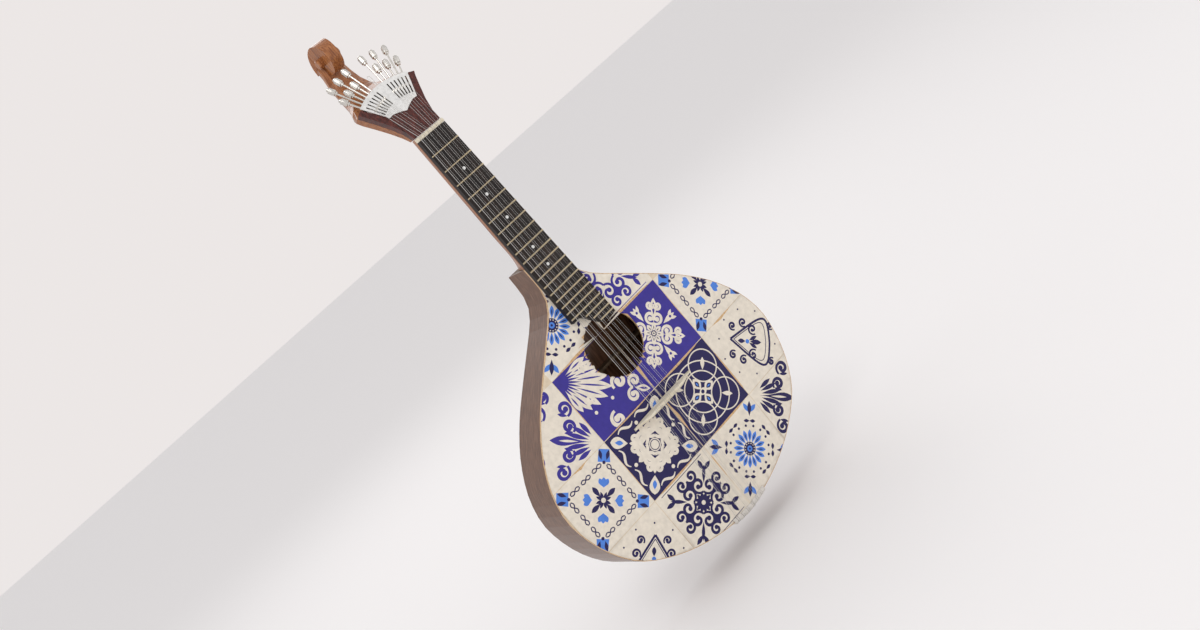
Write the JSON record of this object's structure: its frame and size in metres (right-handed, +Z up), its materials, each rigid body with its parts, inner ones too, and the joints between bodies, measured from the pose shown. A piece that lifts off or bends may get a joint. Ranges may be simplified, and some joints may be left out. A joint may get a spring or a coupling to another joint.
{
  "type": "portuguese guitar",
  "caption": "Pear-shaped plucked string instrument with a tiled front, paired steel strings, a fan-shaped screw tuner and a carved scroll head.",
  "frame": {"origin": "on the flat back, 10 mm below the bridge line, in the middle of the body", "axes": "+Z up the neck, -Y out of the soundboard, +X to the treble side"},
  "size_m": [0.398, 0.135, 0.8047],
  "materials": {
    "tiled_spruce": "gloss print",
    "walnut": "satin lacquer",
    "cedar": "satin lacquer",
    "rosewood": "gloss",
    "ebony": "satin",
    "bone": "polished bone",
    "spruce": "raw",
    "nickel": "polished nickel",
    "steel": "wire"
  },
  "bodies": {
    "instrument": {"soundboard": "tiled_spruce", "back_plate": "walnut", "rib_bass": "walnut", "rib_treble": "walnut", "neck": "cedar", "head": "cedar", "head_front": "rosewood", "fingerboard": "ebony", "nut": "bone", "bridge": "bone", "tailpiece": "nickel", "fan_plate": "nickel", "tuner_bed": "nickel", "neck_block": "spruce", "tail_block": "spruce", "lining_top": "spruce", "lining_back": "spruce", "brace_upper": "spruce", "brace_middle": "spruce", "brace_lower": "spruce", "back_brace_upper": "spruce", "back_brace_lower": "spruce", "string_1": "steel", "string_2": "steel", "string_3": "steel", "string_4": "steel", "string_5": "steel", "string_6": "steel", "string_7": "steel", "string_8": "steel", "string_9": "steel", "string_10": "steel", "string_11": "steel", "string_12": "steel"},
    "screw_1": {"tuning_screw_1": "nickel"},
    "hook_body_1": {"hook_1": "nickel"},
    "screw_2": {"tuning_screw_2": "nickel"},
    "hook_body_2": {"hook_2": "nickel"},
    "screw_3": {"tuning_screw_3": "nickel"},
    "hook_body_3": {"hook_3": "nickel"},
    "screw_4": {"tuning_screw_4": "nickel"},
    "hook_body_4": {"hook_4": "nickel"},
    "screw_5": {"tuning_screw_5": "nickel"},
    "hook_body_5": {"hook_5": "nickel"},
    "screw_6": {"tuning_screw_6": "nickel"},
    "hook_body_6": {"hook_6": "nickel"},
    "screw_7": {"tuning_screw_7": "nickel"},
    "hook_body_7": {"hook_7": "nickel"},
    "screw_8": {"tuning_screw_8": "nickel"},
    "hook_body_8": {"hook_8": "nickel"},
    "screw_9": {"tuning_screw_9": "nickel"},
    "hook_body_9": {"hook_9": "nickel"},
    "screw_10": {"tuning_screw_10": "nickel"},
    "hook_body_10": {"hook_10": "nickel"},
    "screw_11": {"tuning_screw_11": "nickel"},
    "hook_body_11": {"hook_11": "nickel"},
    "screw_12": {"tuning_screw_12": "nickel"},
    "hook_body_12": {"hook_12": "nickel"}
  },
  "joints": [
    {"name": "screw_turn_1", "type": "hinge", "parent": "instrument", "child": "screw_1", "pos_m": [-0.02869, -0.04938, 0.50812], "axis": [-0.4099, 0.3194, 0.8544], "range_deg": [-2165, 2165]},
    {"name": "hook_slide_1", "type": "slide", "parent": "instrument", "child": "hook_body_1", "axis": [-0.4099, 0.3194, 0.8544], "range_m": [-0.003, 0.003], "deforming": ["string_1"]},
    {"name": "screw_turn_2", "type": "hinge", "parent": "instrument", "child": "screw_2", "pos_m": [-0.02463, -0.04879, 0.50969], "axis": [-0.3518, 0.3278, 0.8768], "range_deg": [-2165, 2165]},
    {"name": "hook_slide_2", "type": "slide", "parent": "instrument", "child": "hook_body_2", "axis": [-0.3518, 0.3278, 0.8768], "range_m": [-0.003, 0.003], "deforming": ["string_2"]},
    {"name": "screw_turn_3", "type": "hinge", "parent": "instrument", "child": "screw_3", "pos_m": [-0.02047, -0.0483, 0.51102], "axis": [-0.2924, 0.3349, 0.8957], "range_deg": [-2165, 2165]},
    {"name": "hook_slide_3", "type": "slide", "parent": "instrument", "child": "hook_body_3", "axis": [-0.2924, 0.3349, 0.8957], "range_m": [-0.003, 0.003], "deforming": ["string_3"]},
    {"name": "screw_turn_4", "type": "hinge", "parent": "instrument", "child": "screw_4", "pos_m": [-0.01622, -0.04789, 0.5121], "axis": [-0.2317, 0.3407, 0.9112], "range_deg": [-2165, 2165]},
    {"name": "hook_slide_4", "type": "slide", "parent": "instrument", "child": "hook_body_4", "axis": [-0.2317, 0.3407, 0.9112], "range_m": [-0.003, 0.003], "deforming": ["string_4"]},
    {"name": "screw_turn_5", "type": "hinge", "parent": "instrument", "child": "screw_5", "pos_m": [-0.01192, -0.04758, 0.51293], "axis": [-0.1702, 0.3451, 0.923], "range_deg": [-2165, 2165]},
    {"name": "hook_slide_5", "type": "slide", "parent": "instrument", "child": "hook_body_5", "axis": [-0.1702, 0.3451, 0.923], "range_m": [-0.003, 0.003], "deforming": ["string_5"]},
    {"name": "screw_turn_6", "type": "hinge", "parent": "instrument", "child": "screw_6", "pos_m": [-0.00756, -0.04737, 0.5135], "axis": [-0.108, 0.3482, 0.9312], "range_deg": [-2165, 2165]},
    {"name": "hook_slide_6", "type": "slide", "parent": "instrument", "child": "hook_body_6", "axis": [-0.108, 0.3482, 0.9312], "range_m": [-0.003, 0.003], "deforming": ["string_6"]},
    {"name": "screw_turn_7", "type": "hinge", "parent": "instrument", "child": "screw_7", "pos_m": [0.00756, -0.04737, 0.5135], "axis": [0.108, 0.3482, 0.9312], "range_deg": [-2165, 2165]},
    {"name": "hook_slide_7", "type": "slide", "parent": "instrument", "child": "hook_body_7", "axis": [0.108, 0.3482, 0.9312], "range_m": [-0.003, 0.003], "deforming": ["string_7"]},
    {"name": "screw_turn_8", "type": "hinge", "parent": "instrument", "child": "screw_8", "pos_m": [0.01192, -0.04758, 0.51293], "axis": [0.1702, 0.3451, 0.923], "range_deg": [-2165, 2165]},
    {"name": "hook_slide_8", "type": "slide", "parent": "instrument", "child": "hook_body_8", "axis": [0.1702, 0.3451, 0.923], "range_m": [-0.003, 0.003], "deforming": ["string_8"]},
    {"name": "screw_turn_9", "type": "hinge", "parent": "instrument", "child": "screw_9", "pos_m": [0.01622, -0.04789, 0.5121], "axis": [0.2317, 0.3407, 0.9112], "range_deg": [-2165, 2165]},
    {"name": "hook_slide_9", "type": "slide", "parent": "instrument", "child": "hook_body_9", "axis": [0.2317, 0.3407, 0.9112], "range_m": [-0.003, 0.003], "deforming": ["string_9"]},
    {"name": "screw_turn_10", "type": "hinge", "parent": "instrument", "child": "screw_10", "pos_m": [0.02047, -0.0483, 0.51102], "axis": [0.2924, 0.3349, 0.8957], "range_deg": [-2165, 2165]},
    {"name": "hook_slide_10", "type": "slide", "parent": "instrument", "child": "hook_body_10", "axis": [0.2924, 0.3349, 0.8957], "range_m": [-0.003, 0.003], "deforming": ["string_10"]},
    {"name": "screw_turn_11", "type": "hinge", "parent": "instrument", "child": "screw_11", "pos_m": [0.02463, -0.04879, 0.50969], "axis": [0.3518, 0.3278, 0.8768], "range_deg": [-2165, 2165]},
    {"name": "hook_slide_11", "type": "slide", "parent": "instrument", "child": "hook_body_11", "axis": [0.3518, 0.3278, 0.8768], "range_m": [-0.003, 0.003], "deforming": ["string_11"]},
    {"name": "screw_turn_12", "type": "hinge", "parent": "instrument", "child": "screw_12", "pos_m": [0.02869, -0.04938, 0.50812], "axis": [0.4099, 0.3194, 0.8544], "range_deg": [-2165, 2165]},
    {"name": "hook_slide_12", "type": "slide", "parent": "instrument", "child": "hook_body_12", "axis": [0.4099, 0.3194, 0.8544], "range_m": [-0.003, 0.003], "deforming": ["string_12"]}
  ],
  "couplings": [
    {"joint": "screw_turn_1", "follows": "hook_slide_1", "rad_per_m": -12566},
    {"joint": "screw_turn_2", "follows": "hook_slide_2", "rad_per_m": -12566},
    {"joint": "screw_turn_3", "follows": "hook_slide_3", "rad_per_m": -12566},
    {"joint": "screw_turn_4", "follows": "hook_slide_4", "rad_per_m": -12566},
    {"joint": "screw_turn_5", "follows": "hook_slide_5", "rad_per_m": -12566},
    {"joint": "screw_turn_6", "follows": "hook_slide_6", "rad_per_m": -12566},
    {"joint": "screw_turn_7", "follows": "hook_slide_7", "rad_per_m": -12566},
    {"joint": "screw_turn_8", "follows": "hook_slide_8", "rad_per_m": -12566},
    {"joint": "screw_turn_9", "follows": "hook_slide_9", "rad_per_m": -12566},
    {"joint": "screw_turn_10", "follows": "hook_slide_10", "rad_per_m": -12566},
    {"joint": "screw_turn_11", "follows": "hook_slide_11", "rad_per_m": -12566},
    {"joint": "screw_turn_12", "follows": "hook_slide_12", "rad_per_m": -12566}
  ]
}
